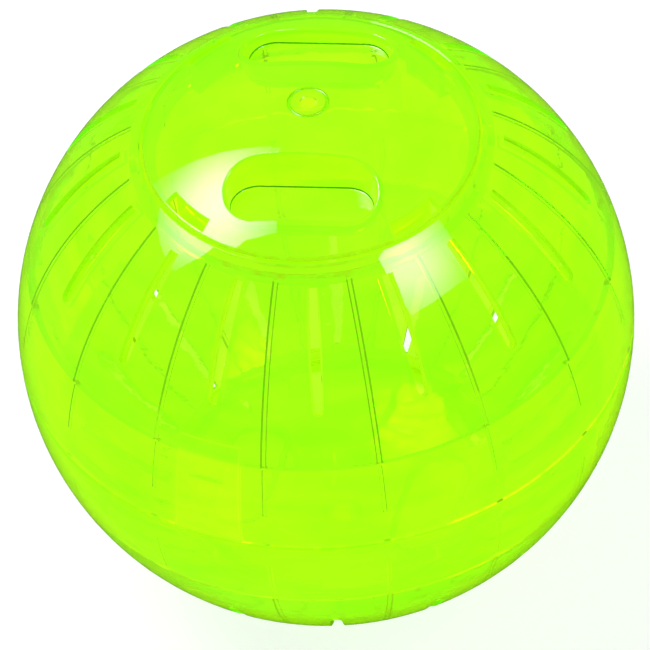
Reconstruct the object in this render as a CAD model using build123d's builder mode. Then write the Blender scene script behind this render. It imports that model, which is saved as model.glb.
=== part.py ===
from build123d import *

import os
from math import asin, acos, cos, degrees, radians, sin, sqrt, tan

# Hamster ball: two snapped half shells, each closed by a twist-lock door with two finger pockets.
# Origin at the ball's centre, +Z out through the upper door, -Y to the front. Millimetres and degrees.
# Azimuths are counted from +X towards +Y, latitudes from the seam towards the upper door.

# Ball
ball_diameter = 178.0
wall = 2.0
bond_share = 0.5

# Seam: thickened belt inside the rim, and two snap tongues on each half
seam_chamfer = 0.5
belt_thickness = 1.8
belt_latitude = 18.2
tongue_azimuth = 157.5
tongue_spread = 12.4
tongue_latitude = 21.5
tongue_root_latitude = 8.0
tongue_relief = 0.2
tongue_clearance = 0.3
socket_spread = 13.4
detent_radius = 0.5
detent_clearance = 0.3
detent_latitude = 14.0
detent_spread = 5.0
groove_spread = 7.0
flip_azimuth = 112.5

# Vents, drafted so that they narrow inwards, each with a raised rim round it inside the ball
vent_count = 16
vent_width = 4.0
vent_draft = 13.0
vent_collar_gap = 3.2
vent_bottom_latitude = 29.0
vent_rim_width = 0.6
vent_rim_rise = 0.8

# Running ribs with drafted sides, one between each two vents, over the wall and the belt up to the collar
rib_crest_width = 0.7
rib_draft = 38.0
rib_rise = 0.7
rib_belt_rise = 0.4
rib_belt_margin = 1.0
rib_bottom_latitude = 7.0

# Door opening, its collar and the ledge that the door sits on
opening_diameter = 96.6
opening_chamfer = 0.5
collar_wall = 2.6
seat_depth = 5.0
ledge_width = 4.6
ledge_thickness = 1.8

# Door and its bayonet lugs
door_azimuth = -5.0
door_gap = 0.5
door_chamfer = 0.6
skirt_wall = 2.2
lug_count = 4
lug_azimuth = 45.0
lug_spread = 20.0
leg_clearance = 0.4
leg_thickness = 1.8
foot_reach = 3.4
foot_thickness = 1.6
foot_clearance = 0.3
notch_clearance = 0.5
notch_spread = 22.5
twist_travel = 25.0
stop_spread = 3.0
stop_gap = 0.6
stop_height = 2.0
window_rim = 0.9

# Finger pockets: flat obround floors with drafted walls, sized from the door's opening
pocket_count = 2
pocket_length_share = 0.415
pocket_width_share = 0.16
pocket_margin = 12.3
pocket_depth = 5.8
pocket_draft = 12.0
pocket_wall = 1.6
pocket_round = 0.5
pocket_lip_round = 0.7

# Gate mark at the pole of each door: a round groove about a small dimple
gate_diameter = 10.9
gate_groove_radius = 0.6
dimple_diameter = 5.2
dimple_depth = 0.5

# Derived radii
outer_radius = ball_diameter / 2
inner_radius = outer_radius - wall
bond_radius = inner_radius + wall * bond_share
belt_radius = inner_radius - belt_thickness
tongue_inner_radius = belt_radius + tongue_relief
tongue_outer_radius = inner_radius - tongue_clearance

# Derived door seat
opening_radius = opening_diameter / 2
opening_height = sqrt(outer_radius**2 - opening_radius**2)
collar_radius = opening_radius + collar_wall
ledge_radius = opening_radius - ledge_width
ledge_top = opening_height - seat_depth
ledge_bottom = ledge_top - ledge_thickness

# Derived door
door_radius = opening_radius - door_gap
door_edge_height = sqrt(outer_radius**2 - door_radius**2)
skirt_radius = door_radius - skirt_wall
leg_outer_radius = ledge_radius - leg_clearance
leg_inner_radius = leg_outer_radius - leg_thickness
leg_top = sqrt(bond_radius**2 - leg_outer_radius**2)
foot_radius = leg_outer_radius + foot_reach
foot_top = ledge_bottom - foot_clearance
foot_bottom = foot_top - foot_thickness
notch_radius = foot_radius + notch_clearance
window_radius = door_radius - window_rim
lug_middle = door_azimuth + lug_azimuth
full_turn = 360.0
half_turn = full_turn / 2

# Derived pockets
pocket_floor_length = opening_diameter * pocket_length_share
pocket_floor_width = opening_diameter * pocket_width_share
pocket_reach = opening_radius - pocket_margin
pocket_floor_offset = pocket_reach - pocket_floor_width / 2
pocket_floor_height = sqrt(outer_radius**2 - pocket_reach**2) - pocket_depth

# Derived ribs: the upper end lies inside the collar's wall
rib_end_radius = collar_radius - collar_wall * bond_share
rib_top_latitude = degrees(acos(rib_end_radius / inner_radius))
rib_margin_latitude = belt_latitude - degrees(rib_belt_margin / belt_radius)

# Derived vents: each is cut square to the wall at the vent's middle latitude
vent_top_latitude = degrees(acos((collar_radius + vent_collar_gap) / outer_radius))
vent_latitude = (vent_top_latitude + vent_bottom_latitude) / 2
vent_half_length = outer_radius * sin(radians(vent_top_latitude - vent_latitude))
vent_straight = 2 * vent_half_length - vent_width / 2
vent_depth = outer_radius - sqrt(inner_radius**2 - vent_half_length**2) + wall * bond_share
vent_outside_half = vent_width / 2 + wall * tan(radians(vent_draft))
vent_inside_half = vent_width / 2 - vent_depth * tan(radians(vent_draft))

flip_axis = Axis((0, 0, 0), (cos(radians(flip_azimuth)), sin(radians(flip_azimuth)), 0))


def meridian(azimuth):
    """Half plane through the ball's axis: local x points out at the azimuth, local y points up."""
    turn = radians(azimuth)
    return Plane(origin=(0, 0, 0), x_dir=(cos(turn), sin(turn), 0), z_dir=(sin(turn), -cos(turn), 0))


def band(low_radius, high_radius, low_latitude, high_latitude):
    """Outline on a meridian between two radii and two latitudes."""
    with BuildLine() as outline:
        span = high_latitude - low_latitude
        outside = CenterArc((0, 0), high_radius, low_latitude, span)
        inside = CenterArc((0, 0), low_radius, low_latitude, span)
        Line(outside @ 0, inside @ 0)
        Line(outside @ 1, inside @ 1)
    return outline.edges()


def ring_piece(low_radius, high_radius, low, high):
    """Outline on a meridian between two radii and two heights."""
    with BuildLine() as outline:
        Polyline((low_radius, low), (high_radius, low), (high_radius, high), (low_radius, high), close=True)
    return outline.edges()


# One running rib, on the +X meridian: a drafted bar along the wall, and one along the belt
rib_turn = radians(rib_bottom_latitude)
rib_plane = Plane(
    origin=(0, 0, 0),
    x_dir=(cos(rib_turn), 0, sin(rib_turn)),
    z_dir=(-sin(rib_turn), 0, cos(rib_turn)),
)
with BuildPart() as rib:
    for rib_crest, rib_root, rib_end_latitude in (
        (inner_radius - rib_rise, bond_radius, rib_top_latitude),
        (belt_radius - rib_belt_rise, belt_radius + belt_thickness * bond_share, rib_margin_latitude),
    ):
        crest_half = rib_crest_width / 2
        root_half = crest_half + (rib_root - rib_crest) * tan(radians(rib_draft))
        with BuildSketch(rib_plane):
            with BuildLine():
                Polyline(
                    (rib_crest, -crest_half),
                    (rib_crest, crest_half),
                    (rib_root, root_half),
                    (rib_root, -root_half),
                    close=True,
                )
            make_face()
        revolve(axis=-Axis.Y, revolution_arc=rib_end_latitude - rib_bottom_latitude)

# One vent cutter, on the +X meridian: square upper end, round lower end
vent_turn = radians(vent_latitude)
vent_plane = Plane(
    origin=(outer_radius * cos(vent_turn), 0, outer_radius * sin(vent_turn)),
    x_dir=(-sin(vent_turn), 0, cos(vent_turn)),
    z_dir=(cos(vent_turn), 0, sin(vent_turn)),
)
vent_end_plane = Plane(
    origin=vent_plane.origin + vent_plane.x_dir * vent_half_length,
    x_dir=vent_plane.y_dir,
    z_dir=-vent_plane.x_dir,
)
with BuildPart() as vent:
    with BuildSketch(vent_end_plane):
        with BuildLine():
            Polyline(
                (-vent_outside_half, -wall),
                (vent_outside_half, -wall),
                (vent_inside_half, vent_depth),
                (-vent_inside_half, vent_depth),
                close=True,
            )
        make_face()
    extrude(amount=vent_straight)
    with Locations(vent_plane.location * Location((vent_half_length - vent_straight, 0, (wall - vent_depth) / 2))):
        Cone(vent_inside_half, vent_outside_half, wall + vent_depth)

# The rim round that vent, from inside the wall to a little below its inner face
with BuildPart() as vent_rim:
    with BuildSketch(vent_plane):
        with Locations((vent_half_length - vent_straight / 2, 0)):
            Rectangle(vent_straight + 2 * vent_rim_width, vent_width + 2 * vent_rim_width)
        fillet(vertices().group_by(Axis.Z)[-1], vent_rim_width)
        with Locations((vent_half_length - vent_straight, 0)):
            Circle(vent_width / 2 + vent_rim_width)
    extrude(amount=-(vent_depth + vent_rim_rise))
    Sphere(bond_radius, mode=Mode.INTERSECT)
    Sphere(inner_radius - vent_rim_rise, mode=Mode.SUBTRACT)

# One notch cutter for the ledge, centred on the +X meridian
with BuildPart() as notch:
    with BuildSketch(meridian(-notch_spread / 2)):
        make_face(ring_piece(leg_inner_radius, notch_radius, foot_bottom, opening_height))
    revolve(axis=Axis.Z, revolution_arc=notch_spread)

# One twist stop under the ledge, where a foot that was turned clockwise from +X comes to rest
stop_azimuth = -(twist_travel + lug_spread / 2 + stop_spread + degrees(stop_gap / foot_radius))
with BuildPart() as stop:
    with BuildSketch(meridian(stop_azimuth)):
        make_face(
            ring_piece(
                ledge_radius + notch_clearance,
                collar_radius - collar_wall * bond_share,
                ledge_bottom - stop_height,
                ledge_bottom + ledge_thickness * bond_share,
            )
        )
    revolve(axis=Axis.Z, revolution_arc=stop_spread)

# Upper half shell
with BuildPart() as upper_half_shell:
    with BuildSketch(Plane.XZ):
        with BuildLine():
            lip_radius = opening_radius + opening_chamfer
            seam_angle = degrees(asin(seam_chamfer / outer_radius))
            lip_angle = degrees(acos(lip_radius / outer_radius))
            outside = CenterArc((0, 0), outer_radius, seam_angle, lip_angle - seam_angle)
            inside = CenterArc((0, 0), inner_radius, 0, degrees(acos(collar_radius / inner_radius)))
            Polyline(
                outside @ 1,
                (opening_radius, opening_height - opening_chamfer),
                (opening_radius, ledge_top),
                (ledge_radius, ledge_top),
                (ledge_radius, ledge_bottom),
                (collar_radius, ledge_bottom),
                inside @ 1,
            )
            Polyline(inside @ 0, (outer_radius - seam_chamfer, 0), outside @ 0)
        make_face()
    revolve(axis=Axis.Z)
    # Belt, open at the two sockets
    for socket_azimuth in (tongue_azimuth + half_turn / 2, tongue_azimuth - half_turn / 2):
        with BuildSketch(meridian(socket_azimuth + socket_spread / 2)):
            make_face(band(belt_radius, bond_radius, 0, belt_latitude))
        revolve(axis=Axis.Z, revolution_arc=half_turn - socket_spread)
    # Tongues that reach into the sockets of the other half, each with a snap bead
    for azimuth in (tongue_azimuth, tongue_azimuth + half_turn):
        with BuildSketch(meridian(azimuth - tongue_spread / 2)):
            make_face(band(tongue_inner_radius, tongue_outer_radius, -tongue_latitude, tongue_root_latitude))
        revolve(axis=Axis.Z, revolution_arc=tongue_spread)
        with BuildSketch(meridian(azimuth - detent_spread / 2)):
            with PolarLocations(tongue_outer_radius, 1, start_angle=-detent_latitude):
                Circle(detent_radius)
        revolve(axis=Axis.Z, revolution_arc=detent_spread)
    with PolarLocations(0, vent_count, start_angle=full_turn / vent_count / 2):
        add(rib.part)
    with PolarLocations(0, vent_count):
        add(vent_rim.part)
    with PolarLocations(0, vent_count):
        add(vent.part, mode=Mode.SUBTRACT)
    with PolarLocations(0, lug_count, start_angle=lug_middle):
        add(notch.part, mode=Mode.SUBTRACT)
        add(stop.part)
    # Grooves for the other half's snap beads
    for socket_azimuth in (tongue_azimuth + half_turn / 2, tongue_azimuth - half_turn / 2):
        with BuildSketch(meridian(socket_azimuth - groove_spread / 2)):
            with PolarLocations(tongue_outer_radius, 1, start_angle=detent_latitude):
                Circle(detent_radius + detent_clearance)
        revolve(axis=Axis.Z, revolution_arc=groove_spread, mode=Mode.SUBTRACT)

# Lower half shell: the same moulding turned over
with BuildPart() as lower_half_shell:
    add(upper_half_shell.part.rotate(flip_axis, half_turn))

# One finger pocket's cup, in front of the axis, trimmed to the ball
with BuildPart() as cup:
    with BuildSketch(Plane.XY.offset(pocket_floor_height - pocket_wall)):
        with Locations((0, -pocket_floor_offset)):
            SlotOverall(pocket_floor_length + 2 * pocket_wall, pocket_floor_width + 2 * pocket_wall)
    extrude(amount=outer_radius - pocket_floor_height + pocket_wall, taper=-pocket_draft)
    fillet(cup.edges().group_by(Axis.Z)[0], pocket_round)
    Sphere(bond_radius, mode=Mode.INTERSECT)

# The hollow of that pocket
with BuildPart() as hollow:
    with BuildSketch(Plane.XY.offset(pocket_floor_height)):
        with Locations((0, -pocket_floor_offset)):
            SlotOverall(pocket_floor_length, pocket_floor_width)
    extrude(amount=outer_radius - pocket_floor_height, taper=-pocket_draft)
    fillet(hollow.edges().group_by(Axis.Z)[0], pocket_round)

# One moulding window above a foot, and the lug with its leg and foot, centred on the +X meridian
with BuildPart() as window:
    with BuildSketch(meridian(-lug_spread / 2)):
        make_face(ring_piece(leg_outer_radius, window_radius, foot_top, outer_radius))
    revolve(axis=Axis.Z, revolution_arc=lug_spread)

with BuildPart() as lug:
    with BuildSketch(meridian(-lug_spread / 2)):
        with BuildLine():
            Polyline(
                (leg_inner_radius, foot_bottom),
                (foot_radius, foot_bottom),
                (foot_radius, foot_top),
                (leg_outer_radius, foot_top),
                (leg_outer_radius, leg_top),
                (leg_inner_radius, leg_top),
                close=True,
            )
        make_face()
    revolve(axis=Axis.Z, revolution_arc=lug_spread)

# Upper door, set in its seat and not yet turned
with BuildPart() as upper_door:
    with BuildSketch(Plane.XZ):
        with BuildLine():
            edge_angle = degrees(acos((door_radius - door_chamfer) / outer_radius))
            cap_outside = CenterArc((0, 0), outer_radius, edge_angle, half_turn / 2 - edge_angle)
            skirt_angle = degrees(acos(skirt_radius / inner_radius))
            cap_inside = CenterArc((0, 0), inner_radius, skirt_angle, half_turn / 2 - skirt_angle)
            Polyline(
                cap_outside @ 0,
                (door_radius, door_edge_height - door_chamfer),
                (door_radius, ledge_top),
                (skirt_radius, ledge_top),
                cap_inside @ 0,
            )
            Line(cap_inside @ 1, cap_outside @ 1)
        make_face()
    revolve(axis=Axis.Z)
    with PolarLocations(0, pocket_count, start_angle=door_azimuth):
        add(cup.part)
        add(hollow.part, mode=Mode.SUBTRACT)
    cap = upper_door.faces().filter_by(GeomType.SPHERE).sort_by(SortBy.AREA)[-1]
    fillet(cap.inner_wires().edges(), pocket_lip_round)
    with PolarLocations(0, lug_count, start_angle=lug_middle):
        add(window.part, mode=Mode.SUBTRACT)
        add(lug.part)
    # Gate mark
    with Locations((0, 0, sqrt(outer_radius**2 - (gate_diameter / 2) ** 2))):
        Torus(gate_diameter / 2, gate_groove_radius, mode=Mode.SUBTRACT)
    with Locations((0, 0, outer_radius)):
        Cone(
            dimple_diameter / 2 - dimple_depth,
            dimple_diameter / 2 + dimple_depth,
            2 * dimple_depth,
            mode=Mode.SUBTRACT,
        )

# Lower door: the same moulding turned over and twisted home on its stops
with BuildPart() as lower_door:
    add(upper_door.part.rotate(Axis.Z, -twist_travel).rotate(flip_axis, half_turn))

os.makedirs("parts", exist_ok=True)
for name, piece in (
    ("upper_half_shell", upper_half_shell),
    ("lower_half_shell", lower_half_shell),
    ("upper_door", upper_door),
    ("lower_door", lower_door),
):
    piece.part.label = name
    export_step(piece.part, f"parts/{name}.step")
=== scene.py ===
"""Hamster ball: dresses the moulded half shells and doors, and sets the studio round them."""

import logging
import math
from dataclasses import dataclass, field
from enum import Enum
from functools import partial
from typing import Any, Callable, List, Tuple

import bpy
from mathutils import Matrix, Vector


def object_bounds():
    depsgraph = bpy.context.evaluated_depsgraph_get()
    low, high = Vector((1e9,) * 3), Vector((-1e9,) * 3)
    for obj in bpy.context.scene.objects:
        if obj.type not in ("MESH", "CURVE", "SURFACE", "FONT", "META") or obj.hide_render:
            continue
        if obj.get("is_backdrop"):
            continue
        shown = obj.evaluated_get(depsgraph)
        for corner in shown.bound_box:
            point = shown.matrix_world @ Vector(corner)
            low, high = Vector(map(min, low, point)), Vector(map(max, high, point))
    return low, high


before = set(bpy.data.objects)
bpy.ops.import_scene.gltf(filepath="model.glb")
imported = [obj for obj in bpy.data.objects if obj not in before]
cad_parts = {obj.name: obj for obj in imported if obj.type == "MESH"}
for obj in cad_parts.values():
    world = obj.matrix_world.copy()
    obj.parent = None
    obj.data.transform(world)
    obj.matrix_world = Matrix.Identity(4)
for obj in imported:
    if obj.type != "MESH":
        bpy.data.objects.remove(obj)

Colour = Tuple[float, float, float]
Direction = Tuple[float, float, float]

logging.basicConfig(level=logging.INFO, format="%(message)s")
log = logging.getLogger("hamster_ball")

IMAGE_SIDE = 650
LIGHT_BOUNCES = 18
CLEAR_BOUNCES = 16


class Slot(Enum):
    """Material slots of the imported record."""

    HALF_SHELL = "half_shell"
    DOOR = "door"


class Pole(Enum):
    """Which end of the ball a piece belongs to."""

    UPPER = "upper"
    LOWER = "lower"


class NodeBench:
    """A material's or world's node tree, with short calls to add and join nodes."""

    def __init__(self, tree: bpy.types.NodeTree) -> None:
        """Take a node tree and clear it."""
        self.tree = tree
        self.tree.nodes.clear()

    def add(self, kind: str, **settings: Any) -> bpy.types.Node:
        """Add a node.

        Args:
            kind: Blender's identifier of the node.
            settings: Properties to set on it.

        Returns:
            The new node.
        """
        node = self.tree.nodes.new(kind)
        for name, value in settings.items():
            setattr(node, name, value)
        return node

    def plug(self, value: Any, socket: bpy.types.NodeSocket) -> None:
        """Join an output to a socket, or set the socket to a plain value.

        Args:
            value: An output socket, a number or a tuple.
            socket: The input that takes it.
        """
        if isinstance(value, bpy.types.NodeSocket):
            self.tree.links.new(value, socket)
        else:
            socket.default_value = value

    def math(self, operation: str, first: Any, second: Any = 0.0, third: Any = 0.0) -> Any:
        """Work out a number.

        Args:
            operation: Name of the math operation.
            first: First operand, a socket or a number.
            second: Second operand.
            third: Third operand.

        Returns:
            The output socket.
        """
        node = self.add("ShaderNodeMath", operation=operation)
        for value, socket in zip((first, second, third), node.inputs):
            self.plug(value, socket)
        return node.outputs[0]

    def vector(self, operation: str, first: Any, second: Any = (0.0, 0.0, 0.0)) -> bpy.types.Node:
        """Work out a vector.

        Args:
            operation: Name of the vector operation.
            first: First operand.
            second: Second operand.

        Returns:
            The node, with Vector and Value outputs.
        """
        node = self.add("ShaderNodeVectorMath", operation=operation)
        self.plug(first, node.inputs[0])
        self.plug(second, node.inputs[1])
        return node

    def fade(self, value: Any, start: float, end: float, low: float = 0.0, high: float = 1.0) -> Any:
        """Map a number smoothly from one range to another.

        Args:
            value: The number.
            start: Value that gives low.
            end: Value that gives high.
            low: Result at start.
            high: Result at end.

        Returns:
            The output socket.
        """
        node = self.add("ShaderNodeMapRange", interpolation_type="SMOOTHSTEP")
        for content, socket in zip((value, start, end, low, high), node.inputs):
            self.plug(content, socket)
        return node.outputs[0]

    def noise(self, place: Any, scale: float, detail: float = 2.0, roughness: float = 0.5) -> Any:
        """Add a noise pattern.

        Args:
            place: Coordinates in metres.
            scale: Repeats per metre.
            detail: Number of octaves.
            roughness: Weight of the finer octaves.

        Returns:
            The factor output.
        """
        node = self.add("ShaderNodeTexNoise")
        self.plug(place, node.inputs["Vector"])
        node.inputs["Scale"].default_value = scale
        node.inputs["Detail"].default_value = detail
        node.inputs["Roughness"].default_value = roughness
        return node.outputs["Fac"]

    def mix(self, share: Any, first: Any, second: Any) -> Any:
        """Mix two colours.

        Args:
            share: Share of the second colour.
            first: First colour, a socket or three numbers.
            second: Second colour.

        Returns:
            The colour output.
        """
        node = self.add("ShaderNodeMix", data_type="RGBA")
        self.plug(share, node.inputs["Factor"])
        for value, name in ((first, "A_Color"), (second, "B_Color")):
            socket = next(s for s in node.inputs if s.identifier == name)
            self.plug((*value, 1.0) if isinstance(value, tuple) else value, socket)
        return next(s for s in node.outputs if s.identifier == "Result_Color")


@dataclass
class Marks:
    """Places on a moulding that get painted shade, and places that get a painted brighter glow, over its
    plain skin.
    """

    bench: NodeBench
    place: Any
    radius: Any
    facing: Any

    def split(self) -> Tuple[Any, Any, Any]:
        """Give the place's X and Y, and its distance from the seam's plane."""
        parts = self.bench.add("ShaderNodeSeparateXYZ")
        self.bench.plug(self.place, parts.inputs[0])
        return parts.outputs["X"], parts.outputs["Y"], self.bench.math("ABSOLUTE", parts.outputs["Z"])

    def across(self) -> Any:
        """Give the distance from the ball's axis."""
        return self.hypotenuse(*self.split()[:2])

    def hypotenuse(self, first: Any, second: Any) -> Any:
        """Give the length of a right triangle's long side."""
        square = self.bench.math("MULTIPLY", first, first)
        return self.bench.math("SQRT", self.bench.math("MULTIPLY_ADD", second, second, square))

    def near(self, value: Any, middle: float, reach: float) -> Any:
        """Mark where a value is close to another, with a fade over half the reach."""
        away = self.bench.math("ABSOLUTE", self.bench.math("SUBTRACT", value, middle))
        return self.bench.fade(away, reach, reach / 2)

    def painted_shade_mask(self) -> Any:
        """Mark where shade is painted."""
        raise NotImplementedError

    def bright(self) -> Any:
        """Mark where a brighter glow is painted."""
        raise NotImplementedError


@dataclass
class ShellMarks(Marks):
    """Painted shade on the sides of the running ribs, vents and belt edge of a half shell, and a painted
    brighter glow on its belt.
    """

    count: int = 16
    half_pitch: float = 0.5
    skin_facing: float = 0.85
    side_facing: float = 0.70
    rib_shade_share: float = 1.0
    rib_reach: float = 0.0014
    vent_reach: float = 0.0027
    vent_shade_share: float = 0.12
    inside_radius: float = 0.0868
    inside_spread: float = 0.0003
    collar_radius: float = 0.0512
    belt_height: float = 0.0269
    belt_reach: float = 0.0008
    belt_shade_share: float = 0.5

    def inside(self) -> Any:
        """Mark what stands in from the wall's inner face."""
        return self.bench.fade(self.radius, self.inside_radius + self.inside_spread, self.inside_radius)

    def meridians(self, middle: float, reach: float) -> Any:
        """Mark evenly spaced strips below the collar.

        Args:
            middle: Where the strips lie in each pitch, 0 at the vents and half a pitch at the ribs.
            reach: Half of a strip's width.

        Returns:
            A socket that is 1 on the strips and 0 elsewhere.
        """
        bench = self.bench
        east, north, _ = self.split()
        pitch = 2 * math.pi / self.count
        start = self.count + self.half_pitch - middle
        azimuth = bench.math("ARCTAN2", north, east)
        turn = bench.math("FRACT", bench.math("MULTIPLY_ADD", azimuth, 1.0 / pitch, start))
        turn = bench.math("MULTIPLY", bench.math("SUBTRACT", turn, self.half_pitch), pitch)
        across = self.across()
        away = bench.math("MULTIPLY", turn, across)
        below = bench.fade(across, self.collar_radius, self.collar_radius + self.inside_spread)
        return bench.math("MULTIPLY", self.near(away, 0.0, reach), below)

    def painted_shade_mask(self) -> Any:
        """Mark where shade is painted: the sides of the ribs and vents and the step at the belt's edge.

        Returns:
            A socket that is 1 on the darkest places and 0 on the plain skin.
        """
        bench = self.bench
        # Painted shade: stands in for the shade along the sides of the ribs and vents and on the belt's
        # step.
        step = self.near(self.split()[2], self.belt_height, self.belt_reach)
        step = bench.math("MULTIPLY", step, self.belt_shade_share)
        ribs = bench.math("MULTIPLY", self.meridians(self.half_pitch, self.rib_reach), self.rib_shade_share)
        lines = bench.math("MULTIPLY", bench.math("MAXIMUM", ribs, step), self.inside())
        vents = bench.math("MULTIPLY", self.meridians(0.0, self.vent_reach), self.vent_shade_share)
        sides = bench.fade(self.facing, self.skin_facing, self.side_facing)
        return bench.math("MULTIPLY", bench.math("MAXIMUM", lines, vents), sides)

    def bright(self) -> Any:
        """Mark the thick belt along the seam, where a brighter glow is painted."""
        # Painted light: a brighter glow on the belt stands in for light falling on the lower part of the
        # ball.
        height = self.split()[2]
        below = self.bench.fade(height, self.belt_height + self.belt_reach, self.belt_height)
        return self.bench.math("MULTIPLY", below, self.inside())


@dataclass
class DoorMarks(Marks):
    """Painted shade in the corners round the pocket floors and round the gate mark of a door, and a painted
    brighter glow on its gate.
    """

    pocket_azimuth: float = 0.0
    pocket_middle: float = 0.02827
    pocket_straight: float = 0.01232
    corner_round: float = 0.0078
    corner_reach: float = 0.0007
    corner_height: float = 0.07592
    corner_depth: float = 0.0003
    gate_radius: float = 0.00545
    gate_reach: float = 0.0008
    gate_shade_share: float = 0.45
    gate_height: float = 0.0875
    dimple_radius: float = 0.0036
    dimple_glow_share: float = 0.5

    def corner(self) -> Any:
        """Mark the corner round each pocket's floor, where shade is painted.

        Returns:
            A socket that is 1 along the corner and 0 elsewhere.
        """
        bench = self.bench
        east, north, height = self.split()
        outward, sideways = [
            bench.math("ABSOLUTE", bench.math("MULTIPLY_ADD", east, x, bench.math("MULTIPLY", north, y)))
            for x, y in (
                (math.cos(self.pocket_azimuth), math.sin(self.pocket_azimuth)),
                (-math.sin(self.pocket_azimuth), math.cos(self.pocket_azimuth)),
            )
        ]
        past = bench.math("MAXIMUM", bench.math("SUBTRACT", sideways, self.pocket_straight), 0.0)
        spine = self.hypotenuse(past, bench.math("SUBTRACT", outward, self.pocket_middle))
        outline = self.near(spine, self.corner_round, self.corner_reach)
        return bench.math("MULTIPLY", outline, self.near(height, self.corner_height, self.corner_depth))

    def painted_shade_mask(self) -> Any:
        """Mark where shade is painted: the pockets' corners and the ring round the gate.

        Returns:
            A socket that is 1 on the darkest places and 0 on the plain skin.
        """
        bench = self.bench
        # Painted shade in the gate's ring groove and, through corner(), along the pocket floors' corners.
        ring = self.near(self.across(), self.gate_radius, self.gate_reach)
        outside = bench.math("GREATER_THAN", self.radius, self.gate_height)
        ring = bench.math("MULTIPLY", ring, bench.math("MULTIPLY", outside, self.gate_shade_share))
        return bench.math("MAXIMUM", self.corner(), ring)

    def bright(self) -> Any:
        """Mark the gate's dimple, where a brighter glow is painted."""
        # Painted highlight: a brighter glow on the gate's dimple.
        dimple = self.bench.fade(self.across(), self.dimple_radius, self.dimple_radius / 2)
        return self.bench.math("MULTIPLY", dimple, self.dimple_glow_share)


@dataclass(frozen=True)
class Pattern:
    """A noise pattern: repeats per metre, octaves, weight of the finer ones, and the range it fades over."""

    scale: float
    detail: float
    roughness: float
    start: float = 0.0
    end: float = 1.0

    def plain(self, bench: NodeBench, place: Any) -> Any:
        """Give the noise itself, which varies round 0.5."""
        return bench.noise(place, self.scale, self.detail, self.roughness)

    def faded(self, bench: NodeBench, place: Any) -> Any:
        """Give the noise as 0 up to the range's start and 1 from its end."""
        return bench.fade(self.plain(bench, place), self.start, self.end)


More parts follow.
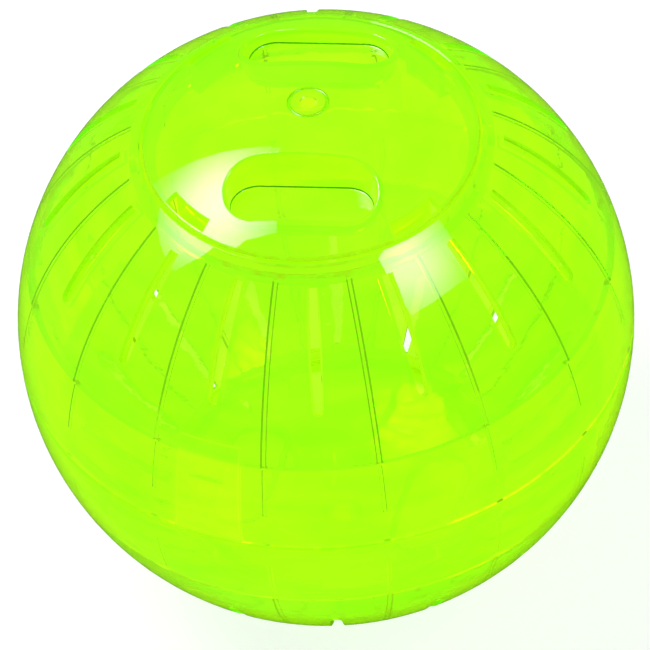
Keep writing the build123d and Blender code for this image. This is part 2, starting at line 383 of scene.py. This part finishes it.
@dataclass(frozen=True)
class LimePlastic:
    """Clear fluorescent lime plastic, polished in the mould, with a painted glow that stands in for its
    fluorescence, set apart along its cut edges.
    """

    tint: Colour = (0.54, 0.925, 0.07)
    tint_deep: Colour = (0.40, 0.88, 0.05)
    # Painted shade: base colour and emission for the marked places on rib and vent sides, belt step, pocket
    # corners and gate ring.
    shade: Colour = (0.02, 0.13, 0.001)
    # Painted glow: emission that stands in for light the fluorescent plastic gathers, the same under any
    # lamp. Inner faces, cut edges, the marked belt and gate, and the painted shade each get their own
    # painted glow.
    glow: Colour = (0.110, 0.230, 0.001)
    painted_inner_glow: Colour = (0.112, 0.095, 0.001)
    painted_edge_glow: Colour = (0.125, 0.210, 0.002)
    painted_bright_glow: Colour = (0.31, 0.19, 0.003)
    painted_shade_glow: Colour = (0.004, 0.020, 0.0)
    body_colour: Colour = (0.88, 0.99, 0.0)
    body_density: float = 400.0
    clear_share: float = 0.92
    refraction: float = 1.58
    gloss: float = 0.015
    scuffed: float = 0.06
    clouds: Pattern = Pattern(22.0, 4.0, 0.6)
    streaks: Pattern = Pattern(45.0, 3.0, 0.55)
    streak_squeeze: float = 5.0
    streak_share: float = 0.5
    flow_start: float = 0.36
    flow_end: float = 0.64
    smudges: Pattern = Pattern(38.0, 4.0, 0.6, 0.42, 0.72)
    smudge_share: float = 0.6
    specks: Pattern = Pattern(420.0, 3.0, 0.7, 0.60, 0.78)
    edge_start: float = 0.75
    edge_end: float = 0.25
    ripple: Pattern = Pattern(160.0, 3.0, 0.45)
    ripple_depth: float = 0.000012
    inner_ripple: float = 3.0
    skin_radius: float = 0.0885
    core_radius: float = 0.0875

    def material(self, name: str, marks: Callable[..., Marks]) -> bpy.types.Material:
        """Make the finish.

        Args:
            name: Name of the material.
            marks: Makes the moulding's painted shade and painted glow marks from a node bench, a place, a
                radius and a facing.

        Returns:
            The material.
        """
        made = bpy.data.materials.new(name)
        made.use_nodes = True
        bench = NodeBench(made.node_tree)
        place = bench.add("ShaderNodeTexCoord").outputs["Object"]
        radius = bench.vector("LENGTH", place).outputs["Value"]
        facing = self.facing(bench, place)
        spots = marks(bench, place, radius, facing)
        # Painted shade goes into the base colour at the marked places.
        painted_shade_mask = spots.painted_shade_mask()
        colour = bench.mix(painted_shade_mask, bench.mix(self.flow(bench, place), self.tint, self.tint_deep), self.shade)
        # Painted glow: emission over the skin, set apart on inner faces, cut edges, the marked belt and
        # gate, and the painted shade.
        inner = bench.fade(radius, self.skin_radius, self.core_radius)
        glow = bench.mix(inner, self.glow, self.painted_inner_glow)
        edge = bench.fade(facing, self.edge_start, self.edge_end)
        glow = bench.mix(edge, glow, self.painted_edge_glow)
        glow = bench.mix(painted_shade_mask, bench.mix(spots.bright(), glow, self.painted_bright_glow), self.painted_shade_glow)
        shader = bench.add("ShaderNodeBsdfPrincipled")
        bench.plug(colour, shader.inputs["Base Color"])
        bench.plug(glow, shader.inputs["Emission Color"])
        bench.plug(self.wear(bench, place), shader.inputs["Roughness"])
        bench.plug(self.ripples(bench, place, radius), shader.inputs["Normal"])
        shader.inputs["Emission Strength"].default_value = 1.0
        shader.inputs["Transmission Weight"].default_value = self.clear_share
        shader.inputs["IOR"].default_value = self.refraction
        body = bench.add("ShaderNodeVolumeAbsorption")
        body.inputs["Color"].default_value = (*self.body_colour, 1.0)
        body.inputs["Density"].default_value = self.body_density
        output = bench.add("ShaderNodeOutputMaterial")
        bench.plug(shader.outputs[0], output.inputs["Surface"])
        bench.plug(body.outputs[0], output.inputs["Volume"])
        return made

    def facing(self, bench: NodeBench, place: Any) -> Any:
        """Tell the ball's own skin from faces that stand across its wall, such as the sides of the vents.

        Args:
            bench: Node tree in work.
            place: Object coordinates.

        Returns:
            A socket that is 1 on the skin and 0 on a face square to it.
        """
        normal = bench.add("ShaderNodeTexCoord").outputs["Normal"]
        outward = bench.vector("NORMALIZE", place).outputs["Vector"]
        return bench.math("ABSOLUTE", bench.vector("DOT_PRODUCT", normal, outward).outputs["Value"])

    def flow_lines(self, bench: NodeBench, place: Any) -> Any:
        """Give flow lines that run round the ball, as the melt leaves them in the mould.

        Args:
            bench: Node tree in work.
            place: Object coordinates.

        Returns:
            A socket that varies round 0.5.
        """
        squeezed = bench.vector("MULTIPLY", place, (1.0, 1.0, self.streak_squeeze)).outputs["Vector"]
        return self.streaks.plain(bench, squeezed)

    def flow(self, bench: NodeBench, place: Any) -> Any:
        """Give the share of the deeper tint, from clouds and flow lines.

        Args:
            bench: Node tree in work.
            place: Object coordinates.

        Returns:
            A socket from 0 to 1.
        """
        clouds = bench.math("MULTIPLY", self.clouds.plain(bench, place), 1.0 - self.streak_share)
        both = bench.math("MULTIPLY_ADD", self.flow_lines(bench, place), self.streak_share, clouds)
        return bench.fade(both, self.flow_start, self.flow_end)

    def wear(self, bench: NodeBench, place: Any) -> Any:
        """Give the roughness, with soft smudges and fine rubbed specks.

        Args:
            bench: Node tree in work.
            place: Object coordinates.

        Returns:
            The roughness socket.
        """
        smudged = bench.math("MULTIPLY", self.smudges.faded(bench, place), self.smudge_share)
        worn = bench.math("MAXIMUM", smudged, self.specks.faded(bench, place))
        return bench.math("MULTIPLY_ADD", worn, self.scuffed - self.gloss, self.gloss)

    def ripples(self, bench: NodeBench, place: Any, radius: Any) -> Any:
        """Give the faint waviness of a moulded skin, deeper inside than outside.

        Args:
            bench: Node tree in work.
            place: Object coordinates.
            radius: Distance from the ball's centre.

        Returns:
            The normal socket.
        """
        bump = bench.add("ShaderNodeBump")
        bump.inputs["Strength"].default_value = 1.0
        bump.inputs["Distance"].default_value = self.ripple_depth
        depth = bench.fade(radius, self.skin_radius, self.core_radius, 1.0, self.inner_ripple)
        wave = bench.math("ADD", self.ripple.plain(bench, place), self.flow_lines(bench, place))
        bench.plug(bench.math("MULTIPLY", wave, depth), bump.inputs["Height"])
        return bump.outputs["Normal"]


@dataclass
class Moulding:
    """One moulded piece of the ball: a CAD node that keeps its shape and gets its finish."""

    node: str
    pole: Pole
    finish: LimePlastic = field(default_factory=LimePlastic)

    def slot(self) -> Slot:
        """Give the record's material slot."""
        raise NotImplementedError

    def marks(self) -> Callable[..., Marks]:
        """Give the maker of the piece's marks."""
        raise NotImplementedError

    def dress(self) -> bpy.types.Object:
        """Put the finish in the node's material slots.

        Returns:
            The dressed node.
        """
        made = self.finish.material(f"{self.slot().value}_{self.pole.value}", self.marks())
        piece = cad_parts[self.node]
        for place in piece.material_slots:
            place.material = made
        return piece


@dataclass
class HalfShell(Moulding):
    """A half shell with its vents, ribs, belt and the seat of its door."""

    # Share of the painted shade on the ribs.
    rib_shade_share: float = 1.0

    def slot(self) -> Slot:
        """Give the record's material slot."""
        return Slot.HALF_SHELL

    def marks(self) -> Callable[..., Marks]:
        """Give the maker of the shell's marks, with as much painted shade on its ribs as they show."""
        return partial(ShellMarks, rib_shade_share=self.rib_shade_share)


@dataclass
class TwistDoor(Moulding):
    """A twist-lock door with its two finger pockets and bayonet lugs."""

    pocket_azimuth: float = 0.0

    def slot(self) -> Slot:
        """Give the record's material slot."""
        return Slot.DOOR

    def marks(self) -> Callable[..., Marks]:
        """Give the maker of the door's marks, at its pockets."""
        return partial(DoorMarks, pocket_azimuth=self.pocket_azimuth)


@dataclass
class Viewpoint:
    """The camera, on the photograph's line of sight with its tilt and framing."""

    ball_radius: float = 0.089
    distance_share: float = 22.0
    elevation: float = math.radians(47.2)
    azimuth: float = math.radians(3.3)
    roll: float = math.radians(4.8)
    disc_radius: float = 308.4
    disc_centre: Tuple[float, float] = (326.0, 317.6)
    sensor: float = 36.0
    sight: float = 100.0

    def axes(self) -> Tuple[Vector, Vector, Vector]:
        """Give the camera's right, up and backward directions."""
        level, height = math.cos(self.elevation), math.sin(self.elevation)
        back = Vector((math.sin(self.azimuth) * level, -math.cos(self.azimuth) * level, height))
        right = Vector((math.cos(self.azimuth), math.sin(self.azimuth), 0.0))
        up = back.cross(right)
        turned = right * math.cos(self.roll) - up * math.sin(self.roll)
        return turned, right * math.sin(self.roll) + up * math.cos(self.roll), back

    def build(self) -> bpy.types.Object:
        """Make the camera and hand it to the scene.

        Returns:
            The camera object.
        """
        right, up, back = self.axes()
        focal = self.disc_radius * math.sqrt(self.distance_share**2 - 1)
        metres_per_pixel = self.distance_share * self.ball_radius / focal
        aside = self.disc_centre[0] - IMAGE_SIDE / 2
        down = self.disc_centre[1] - IMAGE_SIDE / 2
        target = (up * down - right * aside) * metres_per_pixel
        data = bpy.data.cameras.new("viewpoint")
        data.sensor_width = self.sensor
        data.lens = focal * self.sensor / IMAGE_SIDE
        data.clip_end = self.sight
        camera = bpy.data.objects.new("viewpoint", data)
        camera.matrix_world = Matrix((right, up, back)).transposed().to_4x4()
        camera.matrix_world.translation = back * self.distance_share * self.ball_radius + target
        bpy.context.scene.collection.objects.link(camera)
        bpy.context.scene.camera = camera
        return camera


@dataclass
class SoftLamp:
    """A diffused lamp: a flat glowing panel, brightest at its middle, turned towards the ball."""

    name: str
    direction: Direction
    width: float
    height: float
    turn: float
    strength: float
    reach: float
    shift: Tuple[float, float] = (0.0, 0.0)
    hot_spot: Tuple[float, float] = (0.0, 0.0)
    distance: float = 1.2
    rim_share: float = 0.05
    skin_gain: float = 0.3
    skin_faces: float = 0.5
    inside_gain: float = 3.0
    inside_faces: float = 2.5

    def build(self, axes: Tuple[Vector, Vector, Vector]) -> bpy.types.Object:
        """Make the panel and its light.

        Args:
            axes: The camera's right, up and backward directions, in which direction is given.

        Returns:
            The panel, marked as stage.
        """
        toward = sum((axis * share for axis, share in zip(axes, self.direction)), Vector()).normalized()
        side = axes[1].cross(toward).normalized()
        rise = toward.cross(side)
        turned = side * math.cos(self.turn) + rise * math.sin(self.turn)
        bpy.ops.object.select_all(action="DESELECT")
        bpy.ops.mesh.primitive_plane_add(size=1.0)
        panel = bpy.context.object
        panel.name = self.name
        for corner in panel.data.vertices:
            corner.co.x *= self.width
            corner.co.y *= self.height
        panel.matrix_world = Matrix((turned, toward.cross(turned), toward)).transposed().to_4x4()
        aside = side * self.shift[0] + rise * self.shift[1]
        panel.matrix_world.translation = toward * self.distance + aside
        panel.data.materials.append(self.light())
        panel.visible_camera = False
        panel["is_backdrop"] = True
        return panel

    def light(self) -> bpy.types.Material:
        """Make the panel's glow.

        Returns:
            The material, which fades from the hot spot to the rim and lights one side only.
        """
        made = bpy.data.materials.new(self.name)
        made.use_nodes = True
        bench = NodeBench(made.node_tree)
        place = bench.add("ShaderNodeTexCoord").outputs["Object"]
        shift = bench.vector("SUBTRACT", place, (*self.hot_spot, 0.0)).outputs["Vector"]
        away = bench.vector("LENGTH", shift).outputs["Value"]
        fall = bench.fade(away, 0.0, self.reach, self.strength, self.strength * self.rim_share)
        behind = bench.add("ShaderNodeNewGeometry").outputs["Backfacing"]
        level = bench.math("MULTIPLY", bench.math("MULTIPLY", fall, behind), self.gain(bench))
        glow = bench.add("ShaderNodeEmission")
        bench.plug(level, glow.inputs["Strength"])
        bench.plug(glow.outputs[0], bench.add("ShaderNodeOutputMaterial").inputs["Surface"])
        return made

    def gain(self, bench: NodeBench) -> Any:
        """Give the lamp's strength by how many clear faces it is seen through.

        Args:
            bench: Node tree in work.

        Returns:
            A socket that is 1 in the outer skin, less in the wall's inner face and more on the far side.
        """
        faces = bench.add("ShaderNodeLightPath").outputs["Transmission Depth"]
        skin = bench.math("GREATER_THAN", faces, self.skin_faces)
        inside = bench.math("GREATER_THAN", faces, self.inside_faces)
        level = bench.math("MULTIPLY_ADD", skin, self.skin_gain - 1.0, 1.0)
        return bench.math("MULTIPLY_ADD", inside, self.inside_gain - self.skin_gain, level)


@dataclass
class Studio:
    """The pale floor, the dim room and the two lamps."""

    floor_side: float = 12.0
    floor_colour: float = 0.27
    floor_glow: float = 0.80
    floor_gloss: float = 0.15
    room_seen: float = 1.0
    room_through: float = 0.50
    room_gloss: float = 0.03
    room_fill: float = 0.35
    lamps: List[SoftLamp] = field(
        default_factory=lambda: [
            SoftLamp(
                "left_lamp",
                direction=(-0.578, 0.625, 0.525),
                width=0.92,
                height=0.77,
                turn=math.radians(28.0),
                strength=13.5,
                reach=0.62,
                shift=(-0.04, 0.0),
                hot_spot=(0.05, -0.05),
            ),
            SoftLamp(
                "right_lamp",
                direction=(0.519, 0.287, 0.805),
                width=0.60,
                height=0.47,
                turn=math.radians(30.7),
                strength=9.0,
                reach=0.50,
                shift=(0.11, 0.02),
                hot_spot=(-0.12, 0.10),
            ),
        ]
    )

    def build(self, height: float, axes: Tuple[Vector, Vector, Vector]) -> List[bpy.types.Object]:
        """Make the floor, the room and the lamps.

        Args:
            height: The floor's height.
            axes: The camera's right, up and backward directions.

        Returns:
            The stage objects.
        """
        self.room()
        return [self.floor(height)] + [lamp.build(axes) for lamp in self.lamps]

    def floor(self, height: float) -> bpy.types.Object:
        """Make the floor.

        Args:
            height: The floor's height.

        Returns:
            The floor, marked as stage.
        """
        bpy.ops.object.select_all(action="DESELECT")
        bpy.ops.mesh.primitive_plane_add(size=self.floor_side, location=(0.0, 0.0, height))
        ground = bpy.context.object
        ground.name = "floor"
        made = bpy.data.materials.new("pale_floor")
        made.use_nodes = True
        bench = NodeBench(made.node_tree)
        ray = bench.add("ShaderNodeLightPath").outputs
        seen = bench.math("MAXIMUM", ray["Is Camera Ray"], ray["Is Transmission Ray"])
        glow = bench.add("ShaderNodeEmission")
        bench.plug(bench.math("MULTIPLY", seen, self.floor_glow), glow.inputs["Strength"])
        mirrored = bench.math("MULTIPLY_ADD", ray["Is Glossy Ray"], self.floor_gloss - 1.0, 1.0)
        paint = bench.add("ShaderNodeBsdfDiffuse")
        bench.plug(bench.math("MULTIPLY", mirrored, self.floor_colour), paint.inputs["Color"])
        both = bench.add("ShaderNodeAddShader")
        bench.plug(glow.outputs[0], both.inputs[0])
        bench.plug(paint.outputs[0], both.inputs[1])
        bench.plug(both.outputs[0], bench.add("ShaderNodeOutputMaterial").inputs["Surface"])
        ground.data.materials.append(made)
        ground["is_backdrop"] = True
        return ground

    def room(self) -> None:
        """Make the world: white to the camera, dim behind clear plastic and in reflections."""
        world = bpy.data.worlds.new("room")
        world.use_nodes = True
        bpy.context.scene.world = world
        bench = NodeBench(world.node_tree)
        ray = bench.add("ShaderNodeLightPath").outputs
        level: Any = 0.0
        for kind, strength in (
            ("Is Camera Ray", self.room_seen),
            ("Is Transmission Ray", self.room_through),
            ("Is Diffuse Ray", self.room_fill),
            ("Is Glossy Ray", self.room_gloss),
        ):
            level = bench.math("MULTIPLY_ADD", ray[kind], strength, level)
        sky = bench.add("ShaderNodeBackground")
        bench.plug(level, sky.inputs["Strength"])
        bench.plug(sky.outputs[0], bench.add("ShaderNodeOutputWorld").inputs["Surface"])


def main() -> None:
    """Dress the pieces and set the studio."""
    cad_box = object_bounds()
    bpy.context.scene.view_settings.view_transform = "Standard"
    bpy.context.scene.cycles.max_bounces = LIGHT_BOUNCES
    bpy.context.scene.cycles.transmission_bounces = CLEAR_BOUNCES
    view = Viewpoint()
    view.build()
    pieces = [
        HalfShell("lower_half_shell", Pole.LOWER, rib_shade_share=0.5),
        HalfShell("upper_half_shell", Pole.UPPER),
        TwistDoor("upper_door", Pole.UPPER, pocket_azimuth=math.radians(85.0)),
        TwistDoor("lower_door", Pole.LOWER, pocket_azimuth=math.radians(165.0)),
    ]
    for piece in pieces:
        dressed = piece.dress()
        log.info("dressed %s with %s", dressed.name, dressed.material_slots[0].material.name)
    for item in Studio().build(cad_box[0].z, view.axes()):
        log.info("set %s", item.name)


if __name__ == "__main__":
    main()
